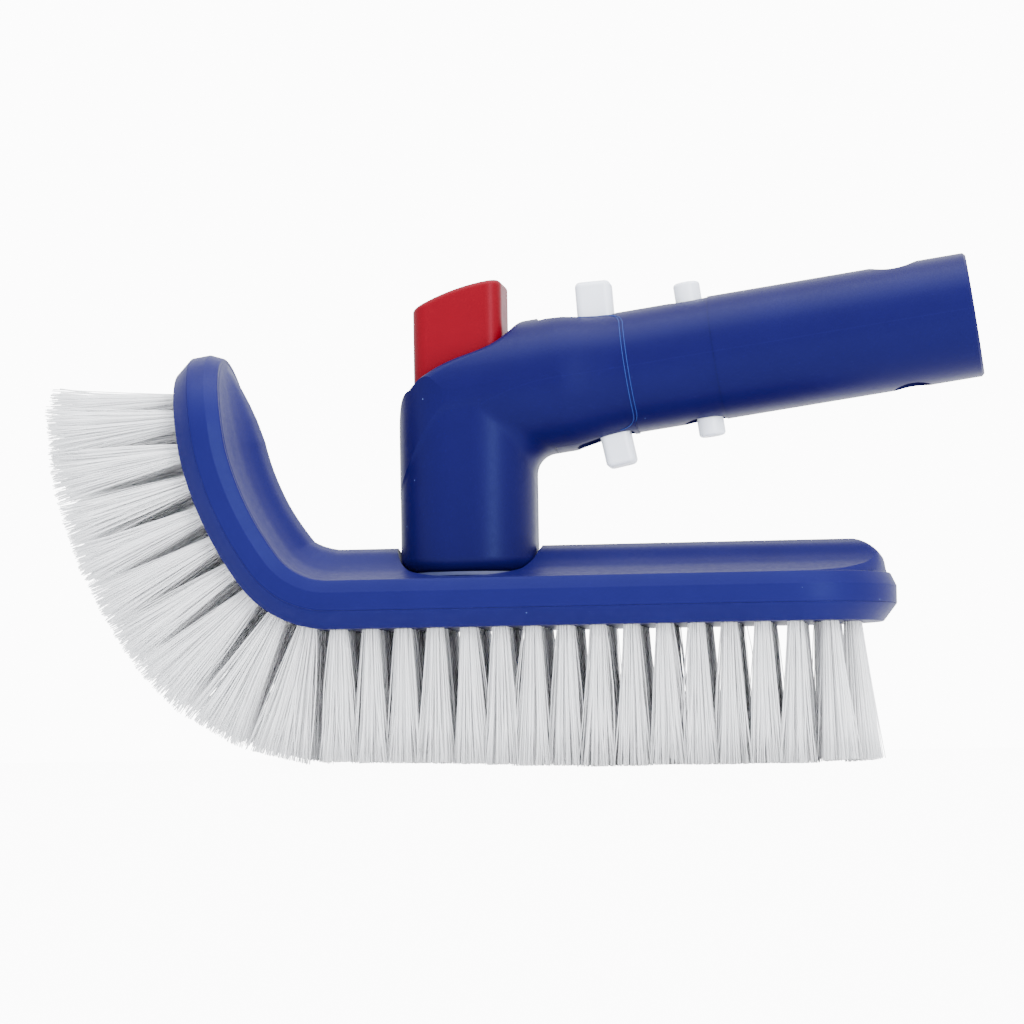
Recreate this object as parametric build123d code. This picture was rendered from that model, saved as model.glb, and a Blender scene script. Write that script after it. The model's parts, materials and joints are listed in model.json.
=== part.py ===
from build123d import *
import os
from math import cos, degrees, hypot, pi, radians, sin, tan

"""Curved swimming-pool wall brush: a J-shaped head with tufts on its outer face, carried on a
swivelling, locking handle that a telescopic pole slides over. Millimetres. The brush stands on
its bristle tips on Z = 0, its length lies along X with the upturned end at -X, and the origin
is under the middle of its length and width."""

# Where the swivel axis stands from the middle of the brush's length.
SWIVEL_X = -10.6

# Head: one cross-section carried along a straight run and up a J. Places along X are from the
# swivel axis until the parts are put in place at the end.
FACE_Z = 32.0  # the face that the tufts stand on, above the bristle tips
NOSE_X = 75.0  # centre of the round nose
BEND_X = -29.9  # where the J begins
J_ARCS = [(25.7, 54.0), (81.4, 21.1), (40.0, 5.7)]  # radius of the tuft face, degrees turned
HEAD_HALF = 22.5  # half the head's width
FACE_HALF = 19.4  # half the width of the tuft face, inside the lower chamfer
SEAM_H = 4.05  # height of the seam between block and shell above the tuft face
BAND_H = 8.1  # top of the upright band
RIM_H = 11.0  # top of the rim
RIM_HALF = 21.1  # half-width at the top of the rim
EDGE_R = 0.7  # rounding of the rim's corners
RIDGE_HALF = 20.0
RIDGE_H = 8.2
RIDGE_PROFILE = [(20.0, 0.05), (16.0, 0.7), (10.7, 2.2), (7.3, 4.2), (4.0, 6.8), (0.0, 8.2)]
RIDGE_END_X = 85.7  # the ridge is level up to here, then rounds down to the nose
RIDGE_END_R = 10.5
RIDGE_SINK = 1.0  # the ridge reaches this far into the rim
# The ridge on the upturned end: heading in degrees and height there, and then the distance
# beyond the arcs and height there.
RIDGE_RISE = [(0.0, 8.2), (14.0, 8.2), (28.0, 8.0), (42.0, 7.5), (54.0, 6.9), (63.0, 6.4),
              (72.0, 6.2), (80.8, 6.1)]
RIDGE_RUN_OUT = [(5.7, 5.0), (10.0, 3.8), (13.5, 2.6), (16.5, 1.3), (18.6, 0.15)]
CORE_HALF = 18.4  # half-width of the block's core, inside the shell
CORE_H = 9.0
CORE_GAP = 0.15
HOLLOW = [(4.5, CORE_H), (1.6, 16.4)]  # half-width and height of the hollow under the ridge
HOLLOW_START_X = 22.0
HOLLOW_END_X = 80.0

# Tufts
PITCH = 7.5
ROW_GAP = 6.55
TUFT_ROOT_R = 1.9  # where the tuft leaves the tuft face
TUFT_TIP_R = 3.15
TUFT_FIT = 0.05
INNER_SHORTER = 0.5  # the inner rows end this much above the outer ones
HOLE_DEPTH = 7.0
TUFT_LENGTH = 32.0  # towards the nose
TUFT_LENGTH_BEND = 30.2  # where the J begins
TUFT_LENGTH_UP = 31.0  # on the upturned end
TUFT_FULL_X = 30.0  # the tufts reach their full length here
END_LEAN = 4.0  # degrees that the tufts round the two ends lean outwards
ANCHOR = (4.5, 0.5, 1.8)  # flat wire that holds each folded tuft: length, thickness, height
ANCHOR_DEPTH = 5.0  # middle of the anchor below the tuft face

# Swivel stack, heights above the floor of the pocket
FLOOR_Z = 43.8
POCKET_R = 16.75
HUB_R = 7.5
HUB_H = 11.5
SCREW_R = 2.0
GASKET_R = 16.4
GASKET_H = 0.8
WEB_H = (0.9, 3.4)  # the neck's floor, which turns round the hub
RUN_FIT = 0.05  # radial running clearance on the hub
RING_H = (9.4, 11.4)
DISC_H = (11.5, 13.5)
DISC_R = 10.0
WASHER_H = 0.8
SCREW_HEAD_R = 3.8
SCREW_HEAD_H = 2.4
CAGE_R = (10.7, 12.4)
CAVITY_R = 13.0
BUTTON_TRAVEL = 3.0
SPRING_WIRE_R = 0.4
SPRING_TURNS = 2.5
SPRING_R = 9.9

# Neck and elbow
NECK_HALF_X = 15.6
NECK_HALF_Y = 15.4
NECK_CORNER = 13.0  # large enough for the neck's foot to turn in the round pocket
FOOT_EDGE_R = 3.2
CAVITY_TOP_Z = 80.0
ELBOW_INNER_R = 5.0
CREST_EDGE_R = 2.0
CREST_EDGE_MIN = 30.0  # the crest's two long edges are rounded, and the short ones left
NECK_STRAIGHT_Z = 72.0  # the neck's left side is upright up to here
SHOULDER = (-12.1, 86.4)
CREST = [(-7.2, 90.4), (-2.3, 93.0), (3.6, 95.2), (8.45, 97.8), (10.5, 99.9), (12.4, 102.2),
         (14.2, 103.2), (19.3, 103.7)]

# Tube: distances are along its axis from the open end
TUBE_TILT = 8.0
TUBE_END = (116.5, 101.4)
TUBE_R = 14.25
RELIEF_A = 59.3  # from here to the joint the tube is slightly thinner
RELIEF_R = 14.05
TUBE_BORE_R = 11.75
RIB_A = (31.0, 32.5)  # a low rib inside the bore, behind the clip's bend
RIB_R = 11.35
SEAM_A = 79.7  # joint between tube and elbow
SLEEVE_A = 91.7  # end of the tube's sleeve inside the elbow
SLEEVE_R = 12.9
ELBOW_BORE_A = 96.8
ELBOW_FLARE = [(79.7, 14.3), (84.8, 14.4), (89.3, 14.95), (92.8, 15.55), (96.3, 15.75)]
END_HOLE_A = 16.5
END_HOLE_R = 4.4
SCALLOP_DEPTH = 1.5  # of the dip across the tube at the upper hole
SCALLOP_R = 12.0

# Spring clip inside the tube
FOLD_A = 35.8
ARM_OFFSET = 2.0  # the arms' roots stand this far from the tube's axis
ARM_T = 2.0
ARM_HALF = 4.0
ARM_END_A = 91.6
ARM_ANGLE = 8.1
CATCH_A = (63.8, 63.2)  # the upper and the lower catch
CATCH_R = 3.05
CATCH_OUT = (4.0, 3.4)  # how far they stand out of the tube
CATCH_SLOT = (3.8, 2.4)  # radius and extra length of the catches' holes
TAB_A = (86.4, 86.1)
TAB_LENGTH = (8.2, 6.9)  # of the upper and lower finger tabs, along the tube
TAB_OUT = (7.7, 6.8)  # how far they stand out of the tube
TAB_TILT = 4.0  # degrees that they lean towards square with their arms
TAB_SLOT_A = (80.6, 94.2)
TAB_SLOT_HALF = 4.25
TONGUE_A = 98.8  # end of the tube's two tongues, which the tabs stand out through
TONGUE_HALF = 5.3
TONGUE_ROOT_R = 4.5
TONGUE_GAP = 0.1

# Release button
BUTTON_X = (-11.75, 8.8)
BUTTON_HALF = 9.0
BUTTON_CORNER = 3.4
BUTTON_GAP = 0.25
BUTTON_TOP = [(-11.75, 105.3), (-1.5, 109.9), (8.8, 112.0)]
BUTTON_EDGE_R = 1.3
FLANGE_Z = (76.9, 79.8)
FLANGE_R = 12.6


# ---- where things are ----


def j_stations():
    """The start point, heading in degrees and centre of each arc of the J, then its end point
    and heading. Heading 0 runs along -X, and 90 straight up."""
    x, z, turned, arcs = BEND_X, FACE_Z, 0.0, []
    for radius, angle in J_ARCS:
        cx, cz = x + radius * sin(radians(turned)), z + radius * cos(radians(turned))
        arcs.append(((x, z), turned, (cx, cz)))
        turned += angle
        x, z = cx - radius * sin(radians(turned)), cz - radius * cos(radians(turned))
    return arcs, (x, z), turned


def section_plane(x, z, heading):
    """A plane across the head: its x is world Y, and its y is the height above the tuft face."""
    a = radians(heading)
    return Plane(origin=(x, 0, z), x_dir=(0, 1, 0), z_dir=(cos(a), 0, -sin(a)))


def straight_length():
    return NOSE_X - BEND_X


def path_length():
    return straight_length() + sum(r * radians(a) for r, a in J_ARCS)


def path_point(s):
    """The point and heading at distance s along the tuft face from the nose's centre."""
    if s <= straight_length():
        return NOSE_X - s, FACE_Z, 0.0
    left = s - straight_length()
    arcs, end, last = j_stations()
    for (radius, angle), ((_, _), turned, (cx, cz)) in zip(J_ARCS, arcs):
        if left <= radius * radians(angle) + 1e-9:
            a = turned + degrees(left / radius)
            return cx - radius * sin(radians(a)), cz - radius * cos(radians(a)), a
        left -= radius * radians(angle)
    return end[0], end[1], last


def turn_point(heading):
    """The point on the tuft face of the J that has the given heading."""
    for (radius, angle), ((_, _), turned, (cx, cz)) in zip(J_ARCS, j_stations()[0]):
        if heading <= turned + angle + 1e-9:
            a = radians(heading)
            return cx - radius * sin(a), cz - radius * cos(a)


def tube_plane(a=0.0):
    """A plane across the tube at distance a from its open end: its z runs along the axis
    towards the neck, its x is world Y and its y points down across the tube."""
    t = radians(TUBE_TILT)
    x, z = TUBE_END[0] - a * cos(t), TUBE_END[1] - a * sin(t)
    return Plane(origin=(x, 0, z), x_dir=(0, 1, 0), z_dir=(-cos(t), 0, -sin(t)))


def tube_rod(r, a0, a1, r1=None):
    """A round rod, or a cone if r1 is given, on the tube's axis from a0 to a1."""
    plane = tube_plane(a0)
    if r1 is None:
        return extrude(plane * Circle(r), a1 - a0)
    return loft([plane * Circle(r), tube_plane(a1) * Circle(r1)])


def side_plane():
    """World X and Z as a sketch plane's x and y, facing -Y."""
    return Plane(origin=(0, 0, 0), x_dir=(1, 0, 0), z_dir=(0, -1, 0))


def to_side(a, h):
    """World X and Z of a point at distance a from the open end and height h over the axis."""
    t = radians(TUBE_TILT)
    return TUBE_END[0] - a * cos(t) - h * sin(t), TUBE_END[1] - a * sin(t) + h * cos(t)


def tube_side(points):
    """A face in the plane Y = 0 from points (distance from the open end, height over the axis)."""
    return side_plane() * make_face(Polyline([to_side(a, h) for a, h in points], close=True))


def rod_z(r, z0, z1):
    return Pos(0, 0, z0) * extrude(Circle(r), z1 - z0)


def ring_z(r_in, r_out, z0, z1):
    return Pos(0, 0, z0) * extrude(Circle(r_out) - Circle(r_in), z1 - z0)


# ---- the head's shape ----


def carry(section, start_x=None, end_x=None):
    """Carries a section, symmetric about world XZ, along the straight run and the J."""
    x0 = BEND_X if start_x is None else start_x
    x1 = NOSE_X if end_x is None else end_x
    body = extrude(section_plane(x0, FACE_Z, 0) * section, x1 - x0)
    if start_x is not None:
        return body
    for (radius, angle), ((x, z), turned, (cx, cz)) in zip(J_ARCS, j_stations()[0]):
        axis = Axis((cx, 0, cz), (0, 1, 0))
        body += revolve(section_plane(x, z, turned) * section, axis, angle)
    return body


def round_ends(section):
    """The section's own half turned through 180 degrees at the nose and at the upturned tip."""
    half = section & Pos(HEAD_HALF, 0) * Rectangle(2 * HEAD_HALF, 8 * HEAD_HALF)
    nose = Axis((NOSE_X, 0, 0), (0, 0, -1))
    body = revolve(section_plane(NOSE_X, FACE_Z, 0) * half, nose, 180)
    _, (x, z), turned = j_stations()
    a = radians(turned)
    tip = Axis((x, 0, z), (sin(a), 0, cos(a)))
    return body, revolve(section_plane(x, z, turned) * half, tip, 180)


def mirrored(points):
    """A closed face from the points of its +Y half, listed from the bottom up."""
    return make_face(Polyline(points + [(-y, h) for y, h in reversed(points)], close=True))


def rounded(face, heights, radius):
    """Rounds the corners of a section that stand at the given heights."""
    corners = [v for v in face.vertices() if any(abs(v.Y - h) < 1e-6 for h in heights)]
    return fillet(corners, radius)


def rim_section():
    points = [(HEAD_HALF, SEAM_H), (HEAD_HALF, BAND_H), (RIM_HALF, RIM_H)]
    return rounded(mirrored(points), (BAND_H, RIM_H), EDGE_R)


def ridge_section(height=1.0, width=1.0):
    """The ridge's flared outline on top of the rim, scaled in height and width."""
    points = [(y * width, RIM_H + h * height) for y, h in RIDGE_PROFILE]
    points += [(-y, h) for y, h in reversed(points[:-1])]
    top = Spline(points)
    foot = RIM_H - RIDGE_SINK
    w = points[0][0]
    sides = Polyline(points[-1], (-w, foot), (w, foot), points[0])
    return make_face([top, sides])


def ridge_nose():
    """The level ridge, cut to the nose's outline and rounded down over its end."""
    body = extrude(section_plane(NOSE_X, FACE_Z, 0) * ridge_section(), HEAD_HALF)
    crest = FACE_Z + RIM_H + RIDGE_H
    low = FACE_Z + RIM_H - 2 * RIDGE_SINK
    end_x = RIDGE_END_X + RIDGE_END_R
    outline = Polyline((RIDGE_END_X, crest), (NOSE_X - 1, crest), (NOSE_X - 1, low), (end_x, low),
                       (end_x, crest - RIDGE_END_R))
    over = RadiusArc((end_x, crest - RIDGE_END_R), (RIDGE_END_X, crest), -RIDGE_END_R)
    side = extrude(side_plane() * make_face([outline, over]), HEAD_HALF, both=True)
    plan = Pos(NOSE_X, 0, 0) * extrude(Circle(RIDGE_HALF), 4 * RIDGE_H + FACE_Z)
    return body & side & plan


def ridge_tip():
    """The ridge round the J and out to the upturned tip, where it ends in the rim."""
    _, (end_x, end_z), last = j_stations()
    sections = []
    for heading, height in RIDGE_RISE:
        plane = section_plane(*turn_point(heading), heading)
        sections.append(plane * ridge_section(height / RIDGE_H))
    for beyond, height in RIDGE_RUN_OUT:
        width = (1 - (beyond / RIDGE_HALF) ** 2) ** 0.5
        x, z = end_x - beyond * cos(radians(last)), end_z + beyond * sin(radians(last))
        plane = section_plane(x, z, last)
        sections.append(plane * ridge_section(height / RIDGE_H, width))
    return loft(sections)


def ridge():
    body = extrude(section_plane(BEND_X, FACE_Z, 0) * ridge_section(), NOSE_X - BEND_X)
    return body + ridge_nose() + ridge_tip()


def hollow_section():
    (w0, h0), (w1, h1) = HOLLOW
    return mirrored([(w0, h0), (w1, h1)])


def core_section(gap=0.0):
    return mirrored([(CORE_HALF + gap, SEAM_H - 1.0), (CORE_HALF + gap, CORE_H)])


def back_shell():
    nose, tip = round_ends(rim_section())
    body = carry(rim_section()) + nose + tip + ridge()
    pocket_nose, pocket_tip = round_ends(core_section(CORE_GAP))
    body -= carry(core_section(CORE_GAP)) + pocket_nose + pocket_tip
    body -= carry(hollow_section(), HOLLOW_START_X, HOLLOW_END_X)
    body -= rod_z(POCKET_R, FLOOR_Z, FLOOR_Z + 3 * RIDGE_H)
    body += rod_z(HUB_R, FLOOR_Z - 1, FLOOR_Z + HUB_H)
    return body - rod_z(SCREW_R, FLOOR_Z - 0.6, FLOOR_Z + HUB_H)


# ---- tufts ----


def tuft_frames():
    """Every tuft's row, foot point on the tuft face, heading of the head there, Y place and
    lean outwards as (along the path, across it)."""
    last = path_length()
    steps = round(last / PITCH)
    frames = []
    for ring, row in ((0, "centre"), (1, "inner"), (2, "outer")):
        y = ring * ROW_GAP
        for i in range(steps + 1):
            for side in (1, -1) if ring else (1,):
                name = row if not ring else f"{row}_{'far' if side > 0 else 'near'}"
                frames.append((name, path_point(last * i / steps), side * y, 0.0, (0, 0)))
        if not ring:
            continue
        gaps = round(pi * y / PITCH)
        for end in (0.0, last):
            outwards = 1 if end else -1
            for i in range(1, gaps):
                turn = pi * i / gaps
                name = f"{row}_{'far' if i < gaps / 2 else 'near'}"
                lean = (END_LEAN * sin(turn), END_LEAN * cos(turn))
                along = outwards * y * sin(turn)
                frames.append((name, path_point(end), y * cos(turn), along, lean))
    return frames


def tuft_location(point, y, along, lean):
    """A location on the tuft face: its z points out along the tuft, and its x along Y."""
    x, z, heading = point
    a = radians(heading)
    ahead = Vector(-cos(a), 0, sin(a))
    out = Vector(-sin(a), 0, -cos(a))
    across = Vector(0, 1, 0)
    way = 1 if along >= 0 else -1
    tilted = out + ahead * way * tan(radians(lean[0])) + across * tan(radians(lean[1]))
    foot = Vector(x, y, z) + ahead * along
    return Plane(origin=foot, x_dir=across - tilted * (across.dot(tilted) / tilted.dot(tilted)),
                 z_dir=tilted).location


def tuft_length(point):
    """Full length towards the nose, shorter at the bend, and a little longer on the J."""
    x, _, heading = point
    if heading == 0:
        share = min(1.0, (x - BEND_X) / (TUFT_FULL_X - BEND_X))
        return TUFT_LENGTH_BEND + (TUFT_LENGTH - TUFT_LENGTH_BEND) * share
    share = min(1.0, heading / J_ARCS[0][1])
    return TUFT_LENGTH_BEND + (TUFT_LENGTH_UP - TUFT_LENGTH_BEND) * share


def tuft(length):
    """A bundle of bristles standing on its anchor and spreading towards the tips."""
    spread = (TUFT_TIP_R - TUFT_ROOT_R) / length
    low = -ANCHOR_DEPTH + ANCHOR[2] / 2
    root_r = TUFT_ROOT_R + low * spread
    return Pos(0, 0, (length + low) / 2) * Cone(root_r, TUFT_TIP_R, length - low)


def anchor():
    """The flat wire across the fold of a tuft, pressed into the walls of its hole."""
    return Pos(0, 0, -ANCHOR_DEPTH) * Box(*ANCHOR)


def tuft_hole():
    depth = HOLE_DEPTH + 1
    return Pos(0, 0, 1 - depth / 2) * Cylinder(TUFT_ROOT_R + TUFT_FIT, depth)


def tufts():
    """The tufts by row, the anchors, and the holes that they sit in."""
    rows, anchors, holes = {}, [], []
    for name, point, y, along, lean in tuft_frames():
        place = tuft_location(point, y, along, lean)
        # The end tufts lean, so they are cut shorter and still end level with their neighbours.
        tilt = radians(hypot(*lean))
        length = tuft_length(point) * cos(tilt) - TUFT_TIP_R * sin(tilt)
        if not name.startswith("outer"):
            length -= INNER_SHORTER
        rows.setdefault(name, []).append(place * tuft(length))
        anchors.append(place * anchor())
        holes.append(place * tuft_hole())
    return rows, anchors, holes


def bristle_block(holes):
    """The lower half of the rim with the core that carries the tufts."""
    flange = mirrored([(FACE_HALF, 0), (HEAD_HALF, SEAM_H)])
    flange = rounded(flange, (0,), EDGE_R)
    core = mirrored([(CORE_HALF, SEAM_H - 0.5), (CORE_HALF, CORE_H)])
    body = None
    for section in (flange, core):
        nose, tip = round_ends(section)
        piece = carry(section) + nose + tip
        body = piece if body is None else body + piece
    return body - holes


# ---- the swivel ----


def swivel_gasket():
    return ring_z(HUB_R + 0.4, GASKET_R, FLOOR_Z, FLOOR_Z + GASKET_H)


def clutch_disc():
    body = ring_z(SCREW_R + 0.1, DISC_R, FLOOR_Z + DISC_H[0], FLOOR_Z + DISC_H[1])
    return body


def screw_washer():
    z = FLOOR_Z + DISC_H[1]
    return ring_z(SCREW_R + 0.15, 5.2, z, z + WASHER_H)


def pivot_screw():
    """A pan-head screw with a cross recess, driven into the hub."""
    z = FLOOR_Z + DISC_H[1] + WASHER_H
    head = rod_z(SCREW_HEAD_R, z, z + SCREW_HEAD_H)
    head = fillet(head.faces().sort_by(Axis.Z)[-1].edges(), 1.0)
    recess = Box(4.2, 0.9, 1.4) + Box(0.9, 4.2, 1.4)
    shank = rod_z(SCREW_R - 0.02, FLOOR_Z - 0.4, z)
    return head + shank - Pos(0, 0, z + SCREW_HEAD_H - 0.6) * recess


def lock_ring():
    """The ring that the spring holds up against the clutch disc."""
    return ring_z(HUB_R + 0.15, CAGE_R[1], FLOOR_Z + RING_H[0], FLOOR_Z + RING_H[1])


def lock_cage():
    """The windowed tube that carries the button's push down to the ring."""
    z0, z1 = FLOOR_Z + RING_H[1], FLANGE_Z[0]
    body = ring_z(CAGE_R[0], CAGE_R[1], z0, z1)
    window = Pos(0, 0, (z0 + z1) / 2 + 1.5) * Box(4 * CAGE_R[1], 11.0, z1 - z0 - 9)
    return body - window - Rot(0, 0, 90) * window


def return_spring():
    z0 = FLOOR_Z + WEB_H[1] + SPRING_WIRE_R
    height = RING_H[0] - WEB_H[1] - 2 * SPRING_WIRE_R
    coil = Helix(height / SPRING_TURNS, height, SPRING_R)
    start = Plane(origin=coil @ 0, z_dir=coil % 0)
    return Pos(0, 0, z0) * sweep(start * Circle(SPRING_WIRE_R), path=coil, is_frenet=True)


# ---- the release button ----


def button_outline(gap=0.0):
    """The button's outline seen from above."""
    width = BUTTON_X[1] - BUTTON_X[0] + 2 * gap
    middle = (BUTTON_X[0] + BUTTON_X[1]) / 2
    return Pos(middle, 0) * RectangleRounded(width, 2 * (BUTTON_HALF + gap), BUTTON_CORNER)


def release_button():
    """A hollow thumb button with a domed, sloping top and a flange that keeps it in the neck."""
    shaft = Pos(0, 0, FLANGE_Z[0] + 1) * extrude(button_outline(), 40)
    left, middle, right = BUTTON_TOP
    dome = ThreePointArc(left, middle, right)
    walls = Polyline(right, (right[0], FLANGE_Z[0]), (left[0], FLANGE_Z[0]), left)
    cut = extrude(side_plane() * make_face([dome, walls]), BUTTON_HALF, both=True)
    body = shaft & cut
    top = [e for e in body.edges() if e.center().Z > BUTTON_TOP[0][1] - 1]
    body = fillet(top, BUTTON_EDGE_R)
    flange_box = Pos(0, 0, FLANGE_Z[0]) * extrude(Circle(FLANGE_R), FLANGE_Z[1] - FLANGE_Z[0])
    body = (body & rod_z(FLANGE_R, 0, FLANGE_Z[1])) + (body & Pos(0, 0, 150) * Box(99, 99, 140.4))
    body += flange_box
    hollow = Pos(-2.4, 0, FLANGE_Z[0]) * extrude(RectangleRounded(14, 12, 2.5), 24)
    return body - hollow


# ---- the neck, elbow and tube ----


def elbow_profile():
    """The neck's outline seen from the side: shoulder, crest under the button, and elbow."""
    left, foot_z = -NECK_HALF_X, FLOOR_Z
    crest = Spline([SHOULDER] + CREST)
    back = Bezier((left, NECK_STRAIGHT_Z), (left, 83.0), (left + 1.2, 85.8), SHOULDER)
    rest = Polyline(CREST[-1], (45.0, 125.0), (45.0, foot_z), (left, foot_z),
                    (left, NECK_STRAIGHT_Z))
    return side_plane() * make_face([crest, back, rest])


def elbow_flare():
    """The elbow's outside where it swells from the joint towards the neck."""
    outline = Spline([to_side(a, r) for a, r in ELBOW_FLARE])
    (a0, r0), (a1, r1) = ELBOW_FLARE[0], ELBOW_FLARE[-1]
    rest = Polyline(to_side(a1, r1), to_side(a1, 0), to_side(a0, 0), to_side(a0, r0))
    plane = tube_plane()
    return revolve(side_plane() * make_face([outline, rest]), Axis(plane.origin, plane.z_dir), 360)


def elbow_swell():
    """The flare and the straight barrel that runs on into the neck."""
    return elbow_flare() + tube_rod(ELBOW_FLARE[-1][1], ELBOW_FLARE[-1][0], 140)


def elbow_outer():
    axis_z = TUBE_END[1] - TUBE_END[0] * tan(radians(TUBE_TILT))
    plan = RectangleRounded(2 * NECK_HALF_X, 2 * NECK_HALF_Y, NECK_CORNER)
    foot_z = FLOOR_Z + WEB_H[0]
    neck = Pos(0, 0, foot_z) * extrude(plan, axis_z - foot_z)
    neck = fillet(neck.faces().sort_by(Axis.Z)[0].edges(), FOOT_EDGE_R)
    # The elbow's left end has the neck's rounded upright corners.
    long_plan = Pos(40 - NECK_HALF_X, 0) * RectangleRounded(80, 2 * NECK_HALF_Y + 0.6, NECK_CORNER)
    elbow = elbow_swell() & Pos(0, 0, 60) * extrude(long_plan, 70)
    body = (neck + elbow) & extrude(elbow_profile(), 20, both=True)
    inner = [e for e in body.edges() if e.center().X > NECK_HALF_X - 4 and e.center().Z < axis_z
             and e.geom_type in (GeomType.BSPLINE, GeomType.ELLIPSE)]
    body = fillet(inner, ELBOW_INNER_R)
    crest = [e for e in body.edges() if e.length > CREST_EDGE_MIN and e.center().Z > axis_z
             and abs(e.center().Y) > 1 and e.geom_type == GeomType.BSPLINE]
    return fillet(crest, CREST_EDGE_R)


def tongues(gap=0.0):
    """The tube's two tongues, with rounded roots at the joint: the upper one lies a little
    below the elbow's surface, and the lower one level with it. With a gap, the room that they
    take in the elbow."""
    half, end = TONGUE_HALF + gap, TONGUE_A + gap
    plan = Pos(0, (end + SEAM_A - 2) / 2) * Rectangle(2 * half, end - SEAM_A + 2)
    root = TONGUE_ROOT_R - gap
    for side in (1, -1):
        middle = side * (half + root / 2)
        corner = Pos(middle, SEAM_A + root / 2 - 0.01) * Rectangle(root, root + 0.02)
        plan += corner - Pos(side * (half + root), SEAM_A + root) * Circle(root)
    along = Plane(origin=tube_plane().origin, x_dir=(0, 1, 0), z_dir=tube_plane().y_dir)
    # Across the tube the plan's y runs against the axis, so it is turned round.
    cut = extrude(along * Rot(0, 0, 180) * plan, 60, both=True)
    cut -= tube_rod(TUBE_BORE_R - gap / 2, SEAM_A - 3, end + 1)
    if gap:
        return cut & tube_rod(2 * TUBE_R, SEAM_A - 2, end)
    level = tube_rod(RELIEF_R, SEAM_A - 2, end)
    below = tube_plane((end + SEAM_A) / 2) * Pos(0, TUBE_R, 0) * Box(99, 2 * TUBE_R, 99)
    return cut & (level + (elbow_swell() & below & tube_rod(2 * TUBE_R, SEAM_A, end)))


def tab_slots():
    """The slots through the tongues for the finger tabs."""
    a0, a1 = TAB_SLOT_A
    box = tube_plane((a0 + a1) / 2) * Box(2 * TAB_SLOT_HALF, 60, a1 - a0)
    return fillet(box.edges().filter_by(Axis(box.center(), tube_plane().y_dir)), 2.0)


def elbow_housing():
    z0 = FLOOR_Z + WEB_H[0]
    body = elbow_outer()
    body -= rod_z(CAVITY_R, FLOOR_Z + WEB_H[1], CAVITY_TOP_Z)
    body -= rod_z(HUB_R + RUN_FIT, z0 - 1, FLOOR_Z + WEB_H[1] + 1)
    opening_z = FLANGE_Z[1] - BUTTON_TRAVEL - 0.3
    body -= Pos(0, 0, opening_z) * extrude(button_outline(BUTTON_GAP), 60)
    body -= tube_rod(SLEEVE_R, SEAM_A - 1, SLEEVE_A)
    body -= tube_rod(TUBE_BORE_R, SEAM_A, ELBOW_BORE_A)
    return body - tongues(TONGUE_GAP)


def pole_tube():
    body = tube_rod(TUBE_R, 0, RELIEF_A)
    body = chamfer(body.faces().sort_by(Axis.X)[-1].edges(), 0.6)
    body += tube_rod(RELIEF_R, RELIEF_A - 1, SEAM_A) + tube_rod(SLEEVE_R, SEAM_A - 1, SLEEVE_A)
    body -= tube_rod(TUBE_BORE_R, -1, RIB_A[0]) + tube_rod(RIB_R, RIB_A[0] - 1, RIB_A[1] + 1)
    body -= tube_rod(TUBE_BORE_R, RIB_A[1], SLEEVE_A + 1)
    across = Rot(90, 0, 0)
    end_holes = tube_plane(END_HOLE_A) * across * Cylinder(END_HOLE_R, 60)
    slot = Pos(0, 0) * SlotOverall(2 * CATCH_SLOT[0] + CATCH_SLOT[1], 2 * CATCH_SLOT[0])
    scallop_z = TUBE_R - SCALLOP_DEPTH + SCALLOP_R
    scallop = tube_plane(END_HOLE_A) * Pos(0, -scallop_z, 0) * Rot(0, 90, 0)
    body -= scallop * Cylinder(SCALLOP_R, 4 * SCALLOP_R)
    catch = tube_plane(CATCH_A[0] + 0.4) * across * Rot(0, 0, 90) * extrude(slot, 30, both=True)
    return body + tongues() - end_holes - catch - tab_slots()


# ---- the spring clip ----


def clip_arm(up):
    """One arm of the V-shaped clip, with its catch and its finger tab. up is 1 or -1."""
    slope = tan(radians(ARM_ANGLE))
    which = 0 if up > 0 else 1

    def centre(a):
        return ARM_OFFSET + (a - FOLD_A) * slope

    half = ARM_T / 2 / cos(radians(ARM_ANGLE))
    strip = [(FOLD_A, centre(FOLD_A) - half), (ARM_END_A, centre(ARM_END_A) - half),
             (ARM_END_A, centre(ARM_END_A) + half), (FOLD_A, centre(FOLD_A) + half)]
    body = extrude(tube_side([(a, up * h) for a, h in strip]), ARM_HALF, both=True)
    root = tube_plane(FOLD_A) * Pos(0, -up * ARM_OFFSET, 0) * Rot(0, 90, 0)
    body += root * Cylinder(ARM_T / 2, 2 * ARM_HALF)
    top = TUBE_R + CATCH_OUT[which]
    low = centre(CATCH_A[which])
    catch = Pos(0, -up * (top + low) / 2, 0) * Rot(90, 0, 0) * Cylinder(CATCH_R, top - low)
    catch = fillet(catch.edges().sort_by(Axis.Y)[-which], 0.8)
    body += tube_plane(CATCH_A[which]) * catch
    out = TUBE_R + TAB_OUT[which]
    base = centre(TAB_A[which] - TAB_LENGTH[which] / 2)
    tab = Box(2 * ARM_HALF, out - base, TAB_LENGTH[which])
    tab = fillet(tab.edges().filter_by(Axis.Y), 1.6)
    tab = fillet(tab.faces().sort_by(Axis.Y)[-which].edges(), 1.2)
    tilt = Rot(up * TAB_TILT, 0, 0)
    body += tube_plane(TAB_A[which]) * tilt * Pos(0, -up * (out + base) / 2, 0) * tab
    return body


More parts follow.
